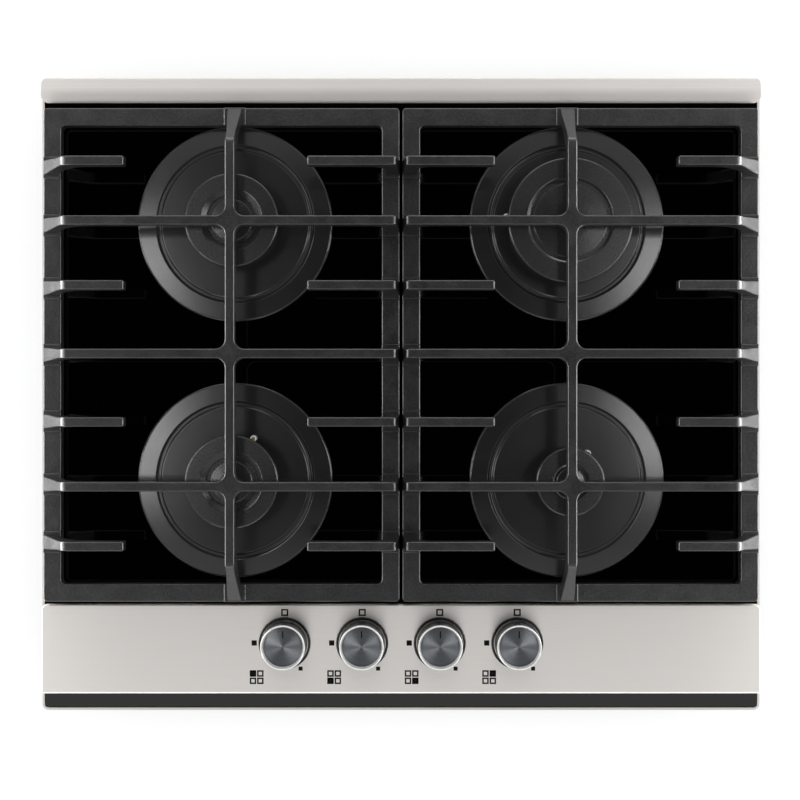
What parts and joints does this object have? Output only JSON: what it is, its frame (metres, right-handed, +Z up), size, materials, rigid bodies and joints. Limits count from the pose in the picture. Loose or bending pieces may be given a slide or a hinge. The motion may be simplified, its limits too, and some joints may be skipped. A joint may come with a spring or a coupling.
{
  "type": "gas cooktop",
  "caption": "Built-in gas cooktop: black glass top with steel trims, gas burners under two cast pan supports, and a front row of push-and-turn knobs.",
  "frame": {"origin": "middle of the footprint, level with the underside of the case; the worktop seat is 50 mm above it", "axes": "+X to the user's right, +Y from the user towards the wall, +Z up"},
  "size_m": [0.59, 0.52, 0.106],
  "materials": {
    "case_steel": "galvanised sheet",
    "rim_steel": "brushed stainless steel",
    "foam": "closed-cell foam",
    "black_glass": "black tempered glass, polished",
    "rail_steel": "brushed stainless steel",
    "panel_steel": "stainless steel brushed along its width",
    "bezel_plastic": "dark gloss",
    "seal_rubber": "moulded silicone rubber",
    "zinc_steel": "zinc-plated steel",
    "switch_plastic": "pale heat-resistant plastic",
    "brass": "machined brass",
    "tube_aluminium": "drawn aluminium tube",
    "ceramic": "white alumina",
    "pin_steel": "plain steel",
    "copper": "copper sheath",
    "module_plastic": "black plastic",
    "lead_rubber": "silicone lead",
    "screw_steel": "bright screws",
    "spring_steel": "spring steel",
    "cast_iron": "enamelled cast iron, satin",
    "dish_enamel": "satin dark enamel",
    "cup_aluminium": "die-cast aluminium",
    "crown_aluminium": "die-cast aluminium",
    "cap_enamel": "satin dark enamel",
    "knob_metal": "turned and polished, radially brushed face"
  },
  "bodies": {
    "hob": {"bottom_case": "case_steel", "top_frame": "rim_steel", "worktop_seal": "foam", "glass_panel": "black_glass", "rear_rail": "rail_steel", "control_panel": "panel_steel", "knob_bezels": "bezel_plastic", "shaft_seals": "seal_rubber", "tap_bracket": "zinc_steel", "ignition_switches": "switch_plastic", "manifold": "zinc_steel", "gas_inlet": "brass", "feed_tubes": "tube_aluminium", "injectors": "brass", "burner_rails": "zinc_steel", "electrode_insulators": "ceramic", "electrode_pins": "pin_steel", "thermocouples": "copper", "spark_module": "module_plastic", "ignition_leads": "lead_rubber", "terminal_block": "switch_plastic", "cable_gland": "module_plastic", "worktop_clips": "zinc_steel", "case_screws": "screw_steel", "tap_screws": "screw_steel", "burner_screws": "screw_steel", "tap_bodies": "brass", "tap_springs": "spring_steel", "burner_dish_rear_left": "dish_enamel", "burner_dish_front_left": "dish_enamel", "burner_dish_front_right": "dish_enamel", "burner_dish_rear_right": "dish_enamel", "burner_cup_rear_left": "cup_aluminium", "burner_cup_front_left": "cup_aluminium", "burner_cup_front_right": "cup_aluminium", "burner_cup_rear_right": "cup_aluminium"},
    "grate_left": {"grate_left": "cast_iron", "grate_feet_left": "seal_rubber"},
    "grate_right": {"grate_right": "cast_iron", "grate_feet_right": "seal_rubber"},
    "crown_rear_left": {"burner_crown_rear_left": "crown_aluminium"},
    "cap_rear_left": {"burner_cap_rear_left": "cap_enamel"},
    "crown_front_left": {"burner_crown_front_left": "crown_aluminium"},
    "cap_front_left": {"burner_cap_front_left": "cap_enamel"},
    "crown_front_right": {"burner_crown_front_right": "crown_aluminium"},
    "cap_front_right": {"burner_cap_front_right": "cap_enamel"},
    "crown_rear_right": {"burner_crown_rear_right": "crown_aluminium"},
    "cap_rear_right": {"burner_cap_rear_right": "cap_enamel"},
    "tap_rear_left": {"tap_plug_rear_left": "brass"},
    "knob_rear_left": {"knob_rear_left": "knob_metal", "spindle_rear_left": "pin_steel"},
    "tap_front_left": {"tap_plug_front_left": "brass"},
    "knob_front_left": {"knob_front_left": "knob_metal", "spindle_front_left": "pin_steel"},
    "tap_front_right": {"tap_plug_front_right": "brass"},
    "knob_front_right": {"knob_front_right": "knob_metal", "spindle_front_right": "pin_steel"},
    "tap_rear_right": {"tap_plug_rear_right": "brass"},
    "knob_rear_right": {"knob_rear_right": "knob_metal", "spindle_rear_right": "pin_steel"}
  },
  "joints": [
    {"name": "grate_left_lift", "type": "slide", "parent": "hob", "child": "grate_left", "axis": [0, 0, 1], "range_m": [0, 0.08]},
    {"name": "grate_right_lift", "type": "slide", "parent": "hob", "child": "grate_right", "axis": [0, 0, 1], "range_m": [0, 0.08]},
    {"name": "crown_rear_left_lift", "type": "slide", "parent": "hob", "child": "crown_rear_left", "axis": [0, 0, 1], "range_m": [0, 0.005]},
    {"name": "cap_rear_left_lift", "type": "slide", "parent": "crown_rear_left", "child": "cap_rear_left", "axis": [0, 0, 1], "range_m": [0, 0.0035]},
    {"name": "crown_front_left_lift", "type": "slide", "parent": "hob", "child": "crown_front_left", "axis": [0, 0, 1], "range_m": [0, 0.005]},
    {"name": "cap_front_left_lift", "type": "slide", "parent": "crown_front_left", "child": "cap_front_left", "axis": [0, 0, 1], "range_m": [0, 0.0035]},
    {"name": "crown_front_right_lift", "type": "slide", "parent": "hob", "child": "crown_front_right", "axis": [0, 0, 1], "range_m": [0, 0.005]},
    {"name": "cap_front_right_lift", "type": "slide", "parent": "crown_front_right", "child": "cap_front_right", "axis": [0, 0, 1], "range_m": [0, 0.0035]},
    {"name": "crown_rear_right_lift", "type": "slide", "parent": "hob", "child": "crown_rear_right", "axis": [0, 0, 1], "range_m": [0, 0.005]},
    {"name": "cap_rear_right_lift", "type": "slide", "parent": "crown_rear_right", "child": "cap_rear_right", "axis": [0, 0, 1], "range_m": [0, 0.0035]},
    {"name": "knob_rear_left_turn", "type": "hinge", "parent": "hob", "child": "tap_rear_left", "pos_m": [-0.09525, -0.204, 0.067], "axis": [0, 0, 1], "range_deg": [0, 210]},
    {"name": "knob_rear_left_push", "type": "slide", "parent": "tap_rear_left", "child": "knob_rear_left", "axis": [0, 0, -1], "range_m": [0, 0.0035], "stiffness_N_per_m": 800, "springref_m": -0.003, "deforming": ["tap_springs"]},
    {"name": "knob_front_left_turn", "type": "hinge", "parent": "hob", "child": "tap_front_left", "pos_m": [-0.03175, -0.204, 0.067], "axis": [0, 0, 1], "range_deg": [0, 210]},
    {"name": "knob_front_left_push", "type": "slide", "parent": "tap_front_left", "child": "knob_front_left", "axis": [0, 0, -1], "range_m": [0, 0.0035], "stiffness_N_per_m": 800, "springref_m": -0.003, "deforming": ["tap_springs"]},
    {"name": "knob_front_right_turn", "type": "hinge", "parent": "hob", "child": "tap_front_right", "pos_m": [0.03175, -0.204, 0.067], "axis": [0, 0, 1], "range_deg": [0, 210]},
    {"name": "knob_front_right_push", "type": "slide", "parent": "tap_front_right", "child": "knob_front_right", "axis": [0, 0, -1], "range_m": [0, 0.0035], "stiffness_N_per_m": 800, "springref_m": -0.003, "deforming": ["tap_springs"]},
    {"name": "knob_rear_right_turn", "type": "hinge", "parent": "hob", "child": "tap_rear_right", "pos_m": [0.09525, -0.204, 0.067], "axis": [0, 0, 1], "range_deg": [0, 210]},
    {"name": "knob_rear_right_push", "type": "slide", "parent": "tap_rear_right", "child": "knob_rear_right", "axis": [0, 0, -1], "range_m": [0, 0.0035], "stiffness_N_per_m": 800, "springref_m": -0.003, "deforming": ["tap_springs"]}
  ]
}
